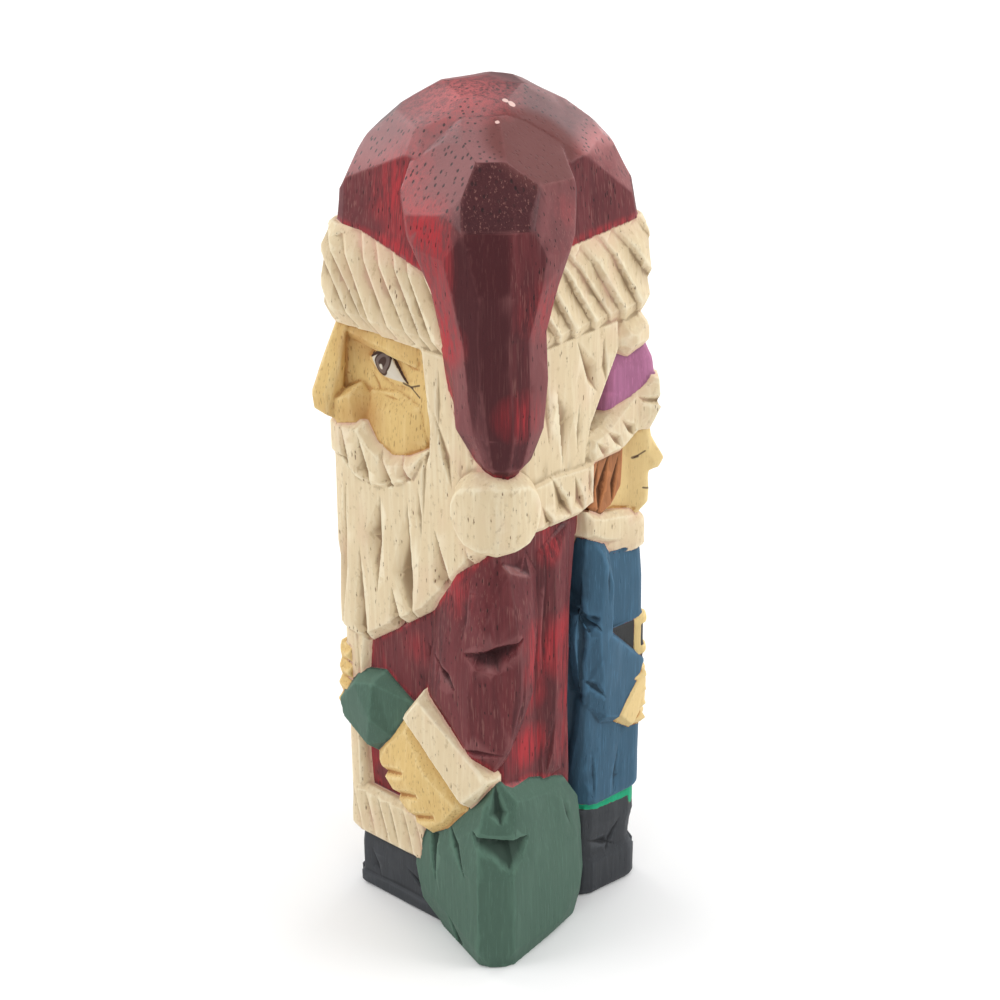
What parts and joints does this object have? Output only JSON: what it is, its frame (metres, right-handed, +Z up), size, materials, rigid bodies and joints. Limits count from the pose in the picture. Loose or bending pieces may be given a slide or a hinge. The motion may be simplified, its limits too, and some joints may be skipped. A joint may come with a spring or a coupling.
{
  "type": "santa figurine",
  "caption": "Folk-style figurine whittled out of a square post: a bearded man in a stocking cap with a sack, and a child behind, back to back.",
  "frame": {"origin": "centre of the square post in the flat underside", "axes": "+Z up, the man's face and the front corner of the post towards -Y, the cap's tail and the sack towards +X, the child towards +Y"},
  "size_m": [0.0994, 0.1008, 0.254],
  "materials": {
    "painted_resin": "cast resin in the look of whittled wood, painted by hand in maroon, cream, ochre, green and blue, with a brown and pink wash in the grooves, satin to matte"
  },
  "bodies": {
    "root": {"santa_figurine": "painted_resin"}
  },
  "joints": []
}
